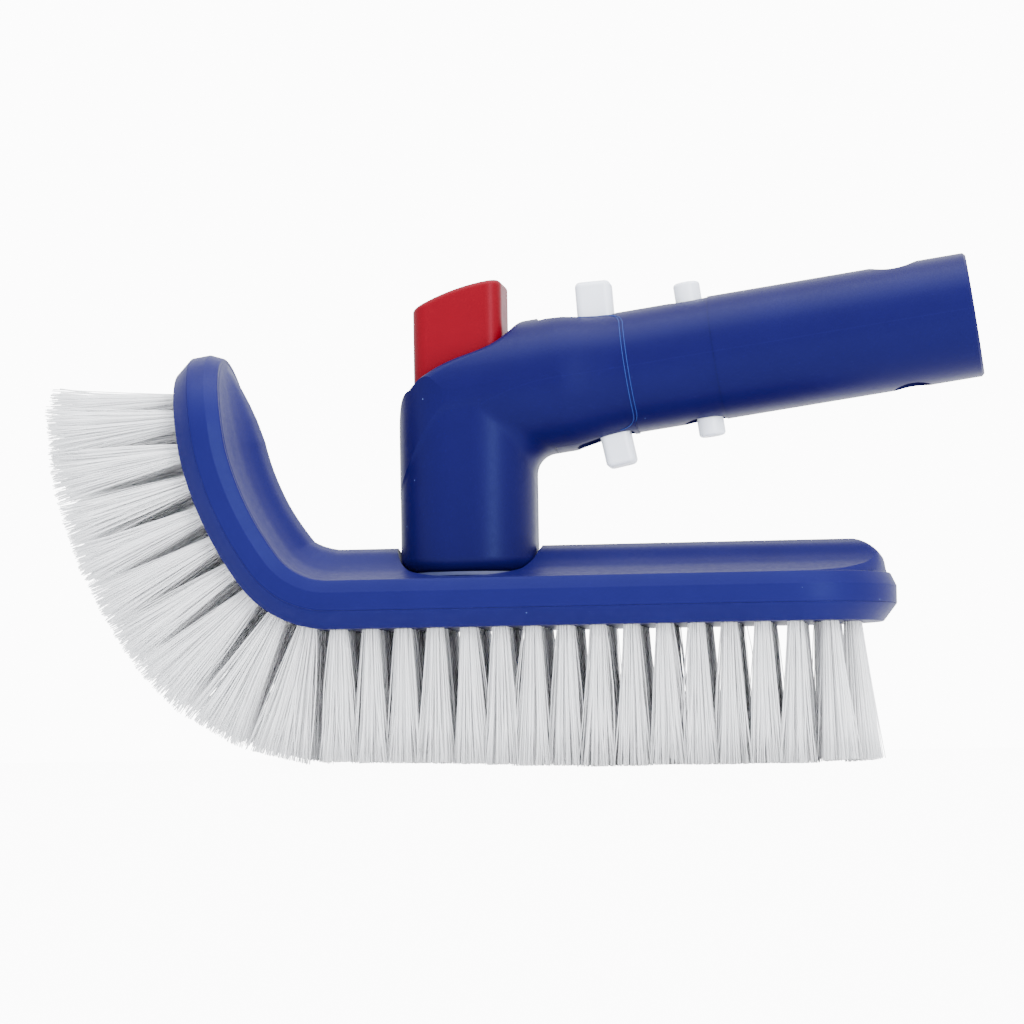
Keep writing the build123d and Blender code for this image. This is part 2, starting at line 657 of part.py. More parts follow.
def clip_fold():
    """The bend that joins the arms, with side wings that centre it in the tube."""
    plane = tube_plane(FOLD_A) * Rot(0, 90, 0)
    outer = ARM_OFFSET + ARM_T / 2
    bend = plane * (Cylinder(outer, 2 * ARM_HALF) - Cylinder(outer - ARM_T, 2 * ARM_HALF))
    behind = tube_plane(FOLD_A) * Pos(0, 0, 10 - 0.1) * Box(60, 60, 20)
    body = bend - behind
    wing = tube_plane(FOLD_A - outer + 0.9) * Box(2 * TUBE_BORE_R - 0.4, 2.0, 1.6)
    body += wing
    for up in (1, -1):
        socket = tube_plane(FOLD_A) * Pos(0, -up * ARM_OFFSET, 0) * Rot(0, 90, 0)
        body -= socket * Cylinder(ARM_T / 2 + 0.05, 3 * ARM_HALF)
    return body


# ---- the whole brush ----


def parts():
    rows, anchors, holes = tufts()
    out = {f"tufts_{name}": Compound(solids) for name, solids in rows.items()}
    out["tuft_anchors"] = Compound(anchors)
    out["bristle_block"] = bristle_block(holes)
    out["back_shell"] = back_shell()
    out["swivel_gasket"] = swivel_gasket()
    out["clutch_disc"] = clutch_disc()
    out["screw_washer"] = screw_washer()
    out["pivot_screw"] = pivot_screw()
    out["elbow_housing"] = elbow_housing()
    out["pole_tube"] = pole_tube()
    out["clip_fold"] = clip_fold()
    out["release_button"] = release_button()
    out["lock_cage"] = lock_cage()
    out["lock_ring"] = lock_ring()
    out["return_spring"] = return_spring()
    out["clip_upper_arm"] = clip_arm(1)
    out["clip_lower_arm"] = clip_arm(-1)
    return out


os.makedirs("parts", exist_ok=True)
for node, shape in parts().items():
    export_step(Pos(SWIVEL_X, 0, 0) * shape, f"parts/{node}.step")
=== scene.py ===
import json
import math
import random
import bmesh
import bpy
import numpy as np
from mathutils import Matrix, Vector


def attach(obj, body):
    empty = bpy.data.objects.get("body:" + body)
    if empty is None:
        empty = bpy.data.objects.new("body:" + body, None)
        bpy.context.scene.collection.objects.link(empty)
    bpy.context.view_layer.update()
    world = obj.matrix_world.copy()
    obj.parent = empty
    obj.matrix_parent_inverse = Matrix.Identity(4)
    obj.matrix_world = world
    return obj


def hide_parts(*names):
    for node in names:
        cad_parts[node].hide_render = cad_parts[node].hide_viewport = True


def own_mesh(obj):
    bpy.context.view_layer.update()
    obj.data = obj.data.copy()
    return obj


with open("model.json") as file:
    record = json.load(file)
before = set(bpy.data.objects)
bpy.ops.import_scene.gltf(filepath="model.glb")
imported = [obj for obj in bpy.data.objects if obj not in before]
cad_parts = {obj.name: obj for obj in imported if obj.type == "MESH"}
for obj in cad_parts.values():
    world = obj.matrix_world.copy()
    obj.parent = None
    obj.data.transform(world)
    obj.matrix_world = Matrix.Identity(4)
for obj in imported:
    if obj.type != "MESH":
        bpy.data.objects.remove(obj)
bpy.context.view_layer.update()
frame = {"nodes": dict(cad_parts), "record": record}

MM = 0.001
random.seed(7)

# The view: a long lens, low down and level with the tube's open end, looking slightly up and left.
CAMERA_AT = Vector((105.9, -880.0, 3.0)) * MM
CAMERA_TARGET = Vector((-0.85, 0.0, 58.8)) * MM
CAMERA_ROLL = math.radians(-0.9)
CAMERA_LENS = 135.7

# The brush's own sizes, as in the CAD part (mm). Places along X are from the swivel axis.
SWIVEL_X = -10.6
FACE_Z = 32.0  # the face that the tufts stand on
NOSE_X = 75.0  # centre of the round nose
BEND_X = -29.9  # where the upturned end begins
ARCS = [(25.7, 54.0), (81.4, 21.1), (40.0, 5.7)]  # radius of the tuft face, degrees turned
HALF, FACE_HALF, RIM_HALF = 22.5, 19.4, 21.1  # half-widths: the band, the tuft face, the rim's top
SEAM_H, BAND_H, RIM_H = 4.05, 8.1, 11.0  # heights above the tuft face
SEAM_GAP, SEAM_INSET = 0.01, 0.25  # half the seam's gap, and how far in its edges are rounded
RIDGE_H, RIDGE_HALF = 8.2, 20.0
# Half-width and height across the ridge, its height by heading in degrees, and its height by
# distance beyond the arcs.
RIDGE_PROFILE = [(20.0, 0.05), (16.0, 0.7), (10.7, 2.2), (7.3, 4.2), (4.0, 6.8), (0.0, 8.2)]
RIDGE_RISE = [(0, 8.2), (14, 8.2), (28, 8.0), (42, 7.5), (54, 6.9), (63, 6.4), (72, 6.2), (80.8, 6.1)]
RIDGE_RUN_OUT = [(0.0, 6.1), (5.7, 5.0), (10.0, 3.8), (13.5, 2.6), (16.5, 1.3), (18.6, 0.3), (20.0, 0.0)]
RIDGE_END_X, RIDGE_END_R = 85.7, 10.5
POCKET_R, POCKET_Z = 16.75, 43.8
HUB_R, HUB_BORE_R, HUB_H = 7.5, 2.1, 11.5
SPRING_R, SPRING_WIRE_R, SPRING_TURNS = 9.9, 0.4, 2.5
WEB_TOP, RING_FOOT = 3.4, 9.4  # above the pocket's floor: what the spring stands on and holds up
TUBE_END, TUBE_TILT, TUBE_R = (116.5, 101.4), math.radians(8.0), 14.25
RELIEF_R = 14.07  # just proud of the tube next to the elbow
# Along the tube from its open end: the joint with the elbow, and the end of the joint's tongues.
SEAM_A, TONGUE_A, TONGUE_HALF, TONGUE_ROOT_R = 79.7, 98.8, 5.3, 4.5
FLARE = [(79.7, 14.3), (84.8, 14.4), (89.3, 14.95), (92.8, 15.55), (96.3, 15.75)]
# Radius of the thin beads along the joint's edges, which carry a painted highlight.
JOINT_HIGHLIGHT_BEAD_R = 0.075

# How finely the head is divided: steps along each straight and round each end.
STRAIGHT_STEPS, END_STEPS = 210, 64
RIDGE_RINGS = [20.6, 20.3, 20.1, 19.9, 19.6, 19.2] + [18.5 - 0.62 * i for i in range(30)] + [0.0]
SHARP = 32  # degrees: edges sharper than this are not shaded smooth

# Bristles (mm)
FILAMENTS = 130  # in each tuft
FILAMENT_R = 0.13
FILAMENT_SIDES = 4
FILAMENT_STEPS = 4
TIP_ALONG, TIP_ACROSS = 4.15, 3.5  # half the width of a tuft's tips, along and across the head
TIP_LENGTH = 31.0  # how far the tips are from the tuft face
GOLDEN_TURN = 2.399963  # radians from one filament to the next, which spreads them evenly
LEAN, WANDER, BOW = 0.3, 0.45, 0.28  # scatter of a tuft's tips, and of a filament's tip and bow
STRAYS, SHORT_ONES = 0.05, 0.04  # shares of the filaments
LOWEST = 0.02  # no tip goes nearer to the floor

# Plastic
MOULD_LINE = 0.00016  # half-width of the mould line (m)
ELBOW_LINE_END = 0.0925  # distance from the tube's open end where it turns down (m)
SPECK_CELLS = 420.0  # cells per metre, each of which may hold one speck of dust
SPECK_SHARE = 0.1  # of the cells
SPECK_R = 0.075  # the largest speck, in cells
SPECK_BLUE = (0.06, 0.09, 0.22)

# Light
LIT = 2.7  # strength of the light from all round
WHITE = 12.0  # strength of the background's white, which only the camera sees


# ---- helpers ----


def new_piece(name, verts, faces, smooth=True):
    """A new object from points in metres and faces."""
    mesh = bpy.data.meshes.new(name)
    mesh.from_pydata([tuple(v) for v in verts], [], faces)
    mesh.update()
    if smooth:
        mesh.polygons.foreach_set("use_smooth", [True] * len(mesh.polygons))
    piece = bpy.data.objects.new(name, mesh)
    bpy.context.scene.collection.objects.link(piece)
    return piece


def smoothstep(a, b, x):
    """0 up to a, 1 from b on, and smooth between."""
    t = np.clip((x - a) / (b - a), 0, 1)
    return t * t * (3 - 2 * t)


# ---- the head, built flat and bent along its path ----


def path_tables():
    """Points along the tuft face from the nose's centre: distance, x, z, heading."""
    s, x, z, turned = NOSE_X - BEND_X, BEND_X, FACE_Z, 0.0
    rows = [(0.0, NOSE_X, FACE_Z, 0.0)]
    for radius, angle in ARCS:
        steps = int(angle * 2) + 1
        cx, cz = x + radius * math.sin(turned), z + radius * math.cos(turned)
        for i in range(steps):
            a = turned + math.radians(angle) * i / steps
            rows.append((s + radius * (a - turned), cx - radius * math.sin(a),
                         cz - radius * math.cos(a), a))
        s += radius * math.radians(angle)
        turned += math.radians(angle)
        x, z = cx - radius * math.sin(turned), cz - radius * math.cos(turned)
    rows.append((s, x, z, turned))
    return np.array(rows)


PATH = path_tables()
LENGTH = PATH[-1, 0]


def bend(s, y, h):
    """World place (m) of a point at distance s along, y across and h above the tuft face."""
    inside = np.clip(s, 0, LENGTH)
    x = np.interp(inside, PATH[:, 0], PATH[:, 1])
    z = np.interp(inside, PATH[:, 0], PATH[:, 2])
    a = np.interp(inside, PATH[:, 0], PATH[:, 3])
    beyond = s - inside
    x = x - np.cos(a) * beyond + np.sin(a) * h + SWIVEL_X
    z = z + np.sin(a) * beyond + np.cos(a) * h
    return np.stack([x, y, z], -1) * MM


def ridge_height(s, y):
    """The ridge's height above the rim."""
    py, ph = zip(*sorted(RIDGE_PROFILE))
    fine = np.linspace(0, 20, 81)
    shape = np.interp(fine, py, ph)
    kernel = np.ones(9) / 9
    padded = np.concatenate([shape[4:0:-1], shape, np.full(4, shape[-1])])
    shape = np.convolve(padded, kernel, "valid")
    heading = np.degrees(np.interp(np.clip(s, 0, LENGTH), PATH[:, 0], PATH[:, 3]))
    tall = np.interp(heading, *zip(*RIDGE_RISE))
    beyond = s - LENGTH
    out = np.interp(beyond, *zip(*RIDGE_RUN_OUT))
    tall = np.where(beyond > 0, out, tall)
    width = np.sqrt(np.clip(1 - (np.clip(beyond, 0, RIDGE_HALF) / RIDGE_HALF) ** 2, 1e-4, 1))
    h = np.interp(np.abs(y) / width, fine, shape) * tall / RIDGE_H
    x = NOSE_X - s
    over = np.clip(x - RIDGE_END_X, 0, RIDGE_END_R)
    end = RIDGE_H - RIDGE_END_R + np.sqrt(np.clip(RIDGE_END_R ** 2 - over ** 2, 0, None))
    return np.minimum(h, np.clip(end, 0, None))


def outline():
    """Points round a stadium of radius 1 about the path: place along, and outward direction."""
    straight = [i / STRAIGHT_STEPS for i in range(STRAIGHT_STEPS)]
    turn = [math.pi * i / END_STEPS for i in range(END_STEPS)]
    rows = [(LENGTH * t, 0.0, 1.0) for t in straight]
    rows += [(LENGTH, math.sin(a), math.cos(a)) for a in turn]
    rows += [(LENGTH * (1 - t), 0.0, -1.0) for t in straight]
    rows += [(0.0, -math.sin(a), -math.cos(a)) for a in turn]
    return np.array(rows)


AROUND = outline()


def ring_at(rho, h):
    """The stadium of radius rho at height h above the tuft face."""
    s = AROUND[:, 0] + AROUND[:, 1] * rho
    return bend(s, AROUND[:, 2] * rho, np.full(len(s), h))


def middle_ring(h):
    """A ring shrunk onto the path, which closes a skin at height h."""
    return bend(AROUND[:, 0], AROUND[:, 2] * 0, np.full(len(AROUND), h))


def arc_points(corner, before, after, radius, steps=5):
    """Rounds a profile's corner: points on the arc that is tangent to both sides."""
    c, a, b = (np.array(p, float) for p in (corner, before, after))
    u, v = (a - c) / np.linalg.norm(a - c), (b - c) / np.linalg.norm(b - c)
    half = math.acos(np.clip(u @ v, -1, 1)) / 2
    reach = radius / math.tan(half)
    centre = c + (u + v) / np.linalg.norm(u + v) * radius / math.sin(half)
    p, q = c + u * reach - centre, c + v * reach - centre
    pts = []
    for i in range(steps + 1):
        t = i / steps
        w = p * (1 - t) + q * t
        pts.append(tuple(centre + w / np.linalg.norm(w) * radius))
    return pts


def ringed(name, rings):
    """Skins rings of equal length, each an array of world points."""
    n = len(rings[0])
    verts = np.concatenate(rings)
    faces = []
    for k in range(len(rings) - 1):
        for i in range(n):
            j = (i + 1) % n
            faces.append((k * n + i, k * n + j, (k + 1) * n + j, (k + 1) * n + i))
    piece = new_piece(name, verts, faces)
    bm = bmesh.new()
    bm.from_mesh(piece.data)
    bmesh.ops.remove_doubles(bm, verts=bm.verts, dist=0.00002)
    bmesh.ops.dissolve_degenerate(bm, dist=1e-7, edges=bm.edges)
    bmesh.ops.recalc_face_normals(bm, faces=bm.faces)
    for f in bm.faces:
        f.smooth = True
    bm.to_mesh(piece.data)
    bm.free()
    return piece


def make_shell():
    """The upper half of the head: an upright band, a sloped rim and the ridge inside it."""
    foot = SEAM_H + SEAM_GAP
    side = [(HALF - SEAM_INSET, foot)]
    side += arc_points((HALF, foot + 0.01), side[-1], (HALF, BAND_H), 0.07, 3)
    side += [(HALF, 5.6), (HALF, 7.0)]
    side += arc_points((HALF, BAND_H), (HALF, 6), (RIM_HALF, RIM_H), 0.5)
    side += [((HALF + RIM_HALF) / 2, (BAND_H + RIM_H) / 2)]
    side += arc_points((RIM_HALF, RIM_H), (HALF, BAND_H), (RIDGE_HALF, RIM_H), 0.45)
    rings = [middle_ring(foot)] + [ring_at(rho, h) for rho, h in side]
    for rho in RIDGE_RINGS:
        s, y = AROUND[:, 0] + AROUND[:, 1] * rho, AROUND[:, 2] * rho
        inside = 1 - smoothstep(19.7, 20.45, np.full(len(s), rho))
        h = RIM_H + ridge_height(s, y) * inside - 0.12 * (1 - abs(2 * inside - 1))
        rings.append(bend(s, y, h))
    shell = ringed("shell_skin", rings)
    cut_pocket(shell)
    return shell


def turned(name, profile, steps):
    """A solid turned about the swivel axis from radii and heights, with flat ends."""
    verts, faces = [], []
    for r, z in profile:
        for i in range(steps):
            a = 2 * math.pi * i / steps
            verts.append(Vector((SWIVEL_X + r * math.cos(a), r * math.sin(a), z)) * MM)
    for k in range(len(profile) - 1):
        for i in range(steps):
            a, b = k * steps + i, k * steps + (i + 1) % steps
            faces.append((a, b, b + steps, a + steps))
    faces += [tuple(reversed(range(steps))), tuple(range(len(verts) - steps, len(verts)))]
    return new_piece(name, verts, faces)


def cut_pocket(shell):
    """The round pocket that the neck's foot turns in."""
    tool = turned("pocket_tool", [(POCKET_R, POCKET_Z), (POCKET_R, POCKET_Z + 20)], 96)
    cut = shell.modifiers.new("pocket", "BOOLEAN")
    cut.operation, cut.solver, cut.object = "DIFFERENCE", "EXACT", tool
    apply_modifiers(shell)
    bpy.data.objects.remove(tool)
    smooth_by_angle(shell)


def make_hub():
    """The round post in the pocket that the neck turns on, bored for its screw."""
    foot, top, bore_end = POCKET_Z - 0.8, POCKET_Z + HUB_H, POCKET_Z - 0.6
    edge, bore_edge = 0.3, 0.2
    hub = turned("hub_skin", [(HUB_R, foot), (HUB_R, top - edge), (HUB_R - edge, top),
                              (HUB_BORE_R + bore_edge, top), (HUB_BORE_R, top - bore_edge),
                              (HUB_BORE_R, bore_end)], 72)
    smooth_by_angle(hub)
    return hub


def apply_modifiers(piece):
    """Turns a piece's modifiers into its mesh."""
    graph = bpy.context.evaluated_depsgraph_get()
    graph.update()
    mesh = bpy.data.meshes.new_from_object(piece.evaluated_get(graph))
    piece.modifiers.clear()
    old = piece.data
    piece.data = mesh
    bpy.data.meshes.remove(old)


def smooth_by_angle(piece):
    """Shades a piece smooth except at its sharp edges."""
    bm = bmesh.new()
    bm.from_mesh(piece.data)
    limit = math.radians(SHARP)
    for f in bm.faces:
        f.smooth = True
    for e in bm.edges:
        e.smooth = len(e.link_faces) == 2 and e.calc_face_angle(0) < limit
    bm.to_mesh(piece.data)
    bm.free()


def make_block():
    """The lower half of the head: the tuft face, the lower chamfer and the seam's lower edge."""
    top = SEAM_H - SEAM_GAP
    side = [(FACE_HALF - 4, 0.0)]
    side += arc_points((FACE_HALF, 0), (0, 0), (HALF, SEAM_H), 0.6)
    side += [((FACE_HALF + HALF) / 2, SEAM_H / 2)]
    side += arc_points((HALF, top - 0.01), (FACE_HALF, 0), (HALF - SEAM_INSET, top - 0.01), 0.05, 3)
    side += [(HALF - SEAM_INSET, top), (HALF - 3, top)]
    rings = [middle_ring(0.0)] + [ring_at(rho, h) for rho, h in side] + [middle_ring(top)]
    return ringed("block_skin", rings)


# ---- tufts ----


def islands(mesh):
    """Vertex groups of the separate solids in a mesh, as arrays of points."""
    co = np.empty(len(mesh.vertices) * 3)
    mesh.vertices.foreach_get("co", co)
    co = co.reshape(-1, 3)
    _, key = np.unique(np.round(co * 1e6).astype(np.int64), axis=0, return_inverse=True)
    key = key.ravel()
    parent = list(range(key.max() + 1))

    def root(i):
        while parent[i] != i:
            parent[i] = parent[parent[i]]
            i = parent[i]
        return i

    for p in mesh.polygons:
        vs = [key[v] for v in p.vertices]
        for v in vs[1:]:
            a, b = root(vs[0]), root(v)
            if a != b:
                parent[a] = b
    groups, first = {}, {}
    for i, k in enumerate(key):
        groups.setdefault(root(k), set()).add(k)
        first.setdefault(k, i)
    return [co[[first[k] for k in sorted(g)]] for _, g in sorted(groups.items())]


def tuft_axis(points):
    """Root centre, tip centre and root radius of a CAD tuft, whose root is its thin end (m)."""
    middle = points.mean(0)
    _, _, vt = np.linalg.svd(points - middle)
    along = (points - middle) @ vt[0]
    ends = [points[along < along.min() + 0.0004], points[along > along.max() - 0.0004]]
    centres = [e.mean(0) for e in ends]
    radii = [np.linalg.norm(e - c, axis=1).max() for e, c in zip(ends, centres)]
    root, tip = (0, 1) if radii[0] < radii[1] else (1, 0)
    return centres[root], centres[tip], radii[root]


def make_tufts():
    """Every tuft as its own bundle of filaments, fanned out, uneven and a little crossed."""
    pieces = []
    for row in ("outer_near", "inner_near", "centre", "inner_far", "outer_far"):
        verts, faces, tones = [], [], []
        tufts = sorted(islands(frame["nodes"]["tufts_" + row].data), key=lambda p: p.mean(0)[0])
        for points in tufts:
            add_tuft(points, verts, faces, tones)
        piece = new_piece("bristles_" + row, verts, faces)
        tone = piece.data.attributes.new("tone", "FLOAT", "POINT")
        tone.data.foreach_set("value", tones)
        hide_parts("tufts_" + row)
        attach(piece, "head")
        pieces.append(piece)
    return pieces


def tip_spacing(root):
    """How far apart neighbouring tips stand, as a multiple of the tufts' pitch."""
    x, z = root[0] / MM - SWIVEL_X, root[2] / MM
    if x > BEND_X or z < FACE_Z - 5:
        return 1.0
    nearest = np.argmin((PATH[:, 1] - x) ** 2 + (PATH[:, 2] - z) ** 2)
    ends = np.cumsum([r * math.radians(a) for r, a in ARCS]) + NOSE_X - BEND_X
    radius = ARCS[min(int(np.searchsorted(ends, PATH[nearest, 0])), 2)][0]
    return 1.0 + 0.8 * TIP_LENGTH / radius


def scatter(amount):
    """A random offset along and across the head (m)."""
    return np.array([random.gauss(0, amount), random.gauss(0, amount)]) * MM


def add_tuft(points, verts, faces, tones):
    """Adds a tuft's filaments to the row's points and faces, and a shade for each point."""
    root, tip, root_r = tuft_axis(points)
    along = tip - root
    length = np.linalg.norm(along)
    w = along / length
    u = np.cross(w, (0, 1, 0))
    u /= np.linalg.norm(u)
    v = np.cross(w, u)
    # u runs along the head: the tips fan out that way to meet the next tuft's.
    fan = np.array([TIP_ALONG * tip_spacing(root), TIP_ACROSS]) * MM
    lean = scatter(LEAN)
    shorter = random.uniform(0.0, 0.3) * MM
    whole_tone = random.uniform(0.88, 1.0)
    for i in range(FILAMENTS):
        ring = math.sqrt((i + 0.5) / FILAMENTS)
        turn = i * GOLDEN_TURN + random.uniform(-0.25, 0.25)
        here = np.array([math.cos(turn), math.sin(turn)]) * ring
        stray = random.random() < STRAYS
        spread = fan * (random.uniform(1.02, 1.15) if stray else 1.0)
        start = here * (root_r - FILAMENT_R * MM)
        end = here * spread + lean + scatter(WANDER)
        bow = scatter(BOW) * (2.2 if stray else 1)
        reach = length - shorter - abs(random.gauss(0, 0.2)) * MM
        if random.random() < SHORT_ONES:
            reach -= random.uniform(0.4, 1.6) * MM
        tone = whole_tone * random.uniform(0.8, 1.0)
        radius = FILAMENT_R * MM * random.uniform(0.85, 1.12)
        base = len(verts)
        for k in range(FILAMENT_STEPS + 1):
            t = k / FILAMENT_STEPS
            # It leaves its hole nearly straight and turns outwards on its way.
            off = start + (end - start) * (0.75 * t + 0.25 * t * t) + bow * math.sin(math.pi * t)
            c = root + w * reach * t + u * off[0] + v * off[1]
            r = radius * (0.8 if k == FILAMENT_STEPS else 1.0)
            for j in range(FILAMENT_SIDES):
                a = 2 * math.pi * (j + 0.5) / FILAMENT_SIDES + turn
                p = c + (u * math.cos(a) + v * math.sin(a)) * r
                verts.append((p[0], p[1], max(p[2], LOWEST * MM)))
                tones.append(tone)
        for k in range(FILAMENT_STEPS):
            for j in range(FILAMENT_SIDES):
                ring_base = base + k * FILAMENT_SIDES
                a, b = ring_base + j, ring_base + (j + 1) % FILAMENT_SIDES
                faces.append((a, b, b + FILAMENT_SIDES, a + FILAMENT_SIDES))
        top = base + FILAMENT_STEPS * FILAMENT_SIDES
        faces.append(tuple(top + j for j in range(FILAMENT_SIDES)))


# ---- the return spring ----


def make_spring():
    """The coil under the release button, which shortens as the button is pressed."""
    z0 = POCKET_Z + WEB_TOP + SPRING_WIRE_R
    height = RING_FOOT - WEB_TOP - 2 * SPRING_WIRE_R
    steps = int(36 * SPRING_TURNS)
    path = []
    for i in range(steps + 1):
        t = 2 * math.pi * SPRING_TURNS * i / steps
        path.append(Vector((SWIVEL_X + SPRING_R * math.cos(t), SPRING_R * math.sin(t),
                            z0 + height * i / steps)) * MM)
    spring = bead("spring_coil", path, SPRING_WIRE_R, 12, 1.0)
    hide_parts("return_spring")
    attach(spring, "handle")
    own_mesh(spring)
    return spring


# ---- the joint line between tube and elbow, drawn as beads with a painted highlight ----


def on_tube(a, y, above, r):
    """World place (m) of a point on the tube's surface, at distance a from the open end."""
    h = math.sqrt(max(r * r - y * y, 0)) * (1 if above else -1)
    c, s = math.cos(TUBE_TILT), math.sin(TUBE_TILT)
    x = TUBE_END[0] - a * c - h * s + SWIVEL_X
    return Vector((x, y, TUBE_END[1] - a * s + h * c)) * MM


def joint_path(side, inset, radius_of):
    """From the upper tongue's end, round its root, down the joint and round the lower root.

    side is -1 near and 1 far, inset moves the line towards the open end, and radius_of gives
    the surface's radius at a distance from the open end.
    """
    half, root = TONGUE_HALF - inset, TONGUE_ROOT_R + inset
    straight_steps, root_steps, side_steps = 24, 14, 40
    flat = [(a, half) for a in np.linspace(TONGUE_A - 1.5, SEAM_A + TONGUE_ROOT_R, straight_steps)]
    middle = (SEAM_A + TONGUE_ROOT_R, half + root)
    for i in range(1, root_steps + 1):
        t = math.pi / 2 * i / root_steps
        flat.append((middle[0] - root * math.sin(t), middle[1] - root * math.cos(t)))
    start = math.asin(min(1, middle[1] / TUBE_R))
    points = [on_tube(a, side * y, True, radius_of(a)) for a, y in flat]
    a = SEAM_A - inset
    r = radius_of(a)
    for i in range(1, side_steps):
        turn = start + (math.pi - 2 * start) * i / side_steps
        points.append(on_tube(a, side * r * math.sin(turn), turn < math.pi / 2, r))
    points += [on_tube(a, side * y, False, radius_of(a)) for a, y in reversed(flat[straight_steps:])]
    return points


def bead(name, points, radius, sides=6, ends=0.3):
    """A round bead along a path. Its ends are thinner by the factor ends."""
    verts, faces = [], []
    for i, p in enumerate(points):
        ahead = (points[min(i + 1, len(points) - 1)] - points[max(i - 1, 0)]).normalized()
        u = ahead.orthogonal().normalized() if i == 0 else (u - ahead * u.dot(ahead)).normalized()
        v = ahead.cross(u)
        r = radius * (ends if i in (0, len(points) - 1) else 1)
        for j in range(sides):
            t = 2 * math.pi * j / sides
            verts.append(p + (u * math.cos(t) + v * math.sin(t)) * r * MM)
    for i in range(len(points) - 1):
        for j in range(sides):
            a, b = i * sides + j, i * sides + (j + 1) % sides
            faces.append((a, b, b + sides, a + sides))
    faces += [tuple(reversed(range(sides))), tuple(range(len(verts) - sides, len(verts)))]
    return new_piece(name, verts, faces)


def make_painted_joint_highlights():
    """The two thin edges where the tube's tongued end meets the elbow, as beads on each side; their
    paler blue is a painted highlight on those edges.
    """
    def elbow(a):
        return float(np.interp(a, *zip(*FLARE)))

    def tube(_):
        return RELIEF_R

    pieces = []
    for side, label in ((-1, "near"), (1, "far")):
        for name, inset, radius_of in (("elbow", -0.02, elbow), ("tube", 0.75, tube)):
            points = joint_path(side, inset, radius_of)
            piece = bead(f"joint_highlight_bead_{name}_{label}", points, JOINT_HIGHLIGHT_BEAD_R)
            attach(piece, "handle")
            pieces.append(piece)
    return pieces


# ---- materials ----


class Nodes:
    """A short way to write a node tree."""

    def __init__(self, name):
        self.material = bpy.data.materials.new(name)
        self.material.use_nodes = True
        self.tree = self.material.node_tree
        self.shader = self.tree.nodes["Principled BSDF"]

    def add(self, kind, settings=None, **inputs):
        """A new node with its settings, and its inputs by name or as i0, i1 and so on."""
        node = self.tree.nodes.new(kind)
        for key, value in (settings or {}).items():
            setattr(node, key, value)
        for key, value in inputs.items():
            self.put(node, key, value)
        return node

    def put(self, node, key, value):
        """Links an input to another node's output, or gives it a value."""
        numbered = key[0] == "i" and key[1:].isdigit()
        socket = node.inputs[int(key[1:]) if numbered else key]
        if isinstance(value, bpy.types.NodeSocket):
            self.tree.links.new(value, socket)
        else:
            socket.default_value = value

    def math(self, operation, a, b=0.0, clamp=False):
        node = self.add("ShaderNodeMath", {"operation": operation, "use_clamp": clamp}, i0=a, i1=b)
        return node.outputs[0]

    def place(self):
        """The point in the piece's own coordinates (m)."""
        return self.add("ShaderNodeTexCoord").outputs["Object"]

    def noise(self, scale, detail=3.0, rough=0.5, vector=None):
        node = self.add("ShaderNodeTexNoise", None, Scale=scale, Detail=detail, Roughness=rough,
                        Vector=vector or self.place())
        return node.outputs[0]

    def ramp(self, value, stops):
        node = self.add("ShaderNodeValToRGB", None, Fac=value)
        ramp = node.color_ramp
        while len(ramp.elements) < len(stops):
            ramp.elements.new(0.5)
        for element, (at, colour) in zip(ramp.elements, stops):
            element.position = at
            element.color = (*colour, 1)
        return node.outputs[0]

    def mix(self, factor, a, b):
        """Colour a where the factor is 0, and b where it is 1."""
        node = self.add("ShaderNodeMix", {"data_type": "RGBA"})
        self.put(node, "i0", factor)
        for index, value in ((6, a), (7, b)):  # the node's two colour inputs
            if isinstance(value, bpy.types.NodeSocket):
                self.tree.links.new(value, node.inputs[index])
            else:
                node.inputs[index].default_value = (*value, 1)
        return node.outputs[2]

    def bump(self, layers):
        """Relief in layers of height, distance (m) and strength, one on another."""
        normal = None
        for height, distance, strength in layers:
            node = self.add("ShaderNodeBump", None, Strength=strength, Distance=distance, Height=height)
            if normal:
                self.put(node, "Normal", normal)
            normal = node.outputs[0]
        self.put(self.shader, "Normal", normal)

    def set(self, **values):
        """Sets the shader's inputs, with _ for a space in their names."""
        for key, value in values.items():
            self.put(self.shader, key.replace("_", " "), value)


def line_mask(n, value, half_width):
    """1 where the value is within half_width of zero, fading to 0 at its edges."""
    near = n.math("DIVIDE", n.math("ABSOLUTE", value), half_width)
    return n.math("SUBTRACT", 1.0, near, clamp=True)


def tube_height(n, place):
    """Height over the tube's axis, and distance along it from the open end (m)."""
    split = n.add("ShaderNodeSeparateXYZ", None, Vector=place)
    c, s = math.cos(TUBE_TILT), math.sin(TUBE_TILT)
    x0, z0 = (TUBE_END[0] + SWIVEL_X) * MM, TUBE_END[1] * MM
    dx = n.math("SUBTRACT", split.outputs[0], x0)
    dz = n.math("SUBTRACT", split.outputs[2], z0)
    h = n.math("ADD", n.math("MULTIPLY", dx, -s), n.math("MULTIPLY", dz, c))
    a = n.math("MULTIPLY", n.math("ADD", n.math("MULTIPLY", dx, c), n.math("MULTIPLY", dz, s)), -1.0)
    return h, a, split


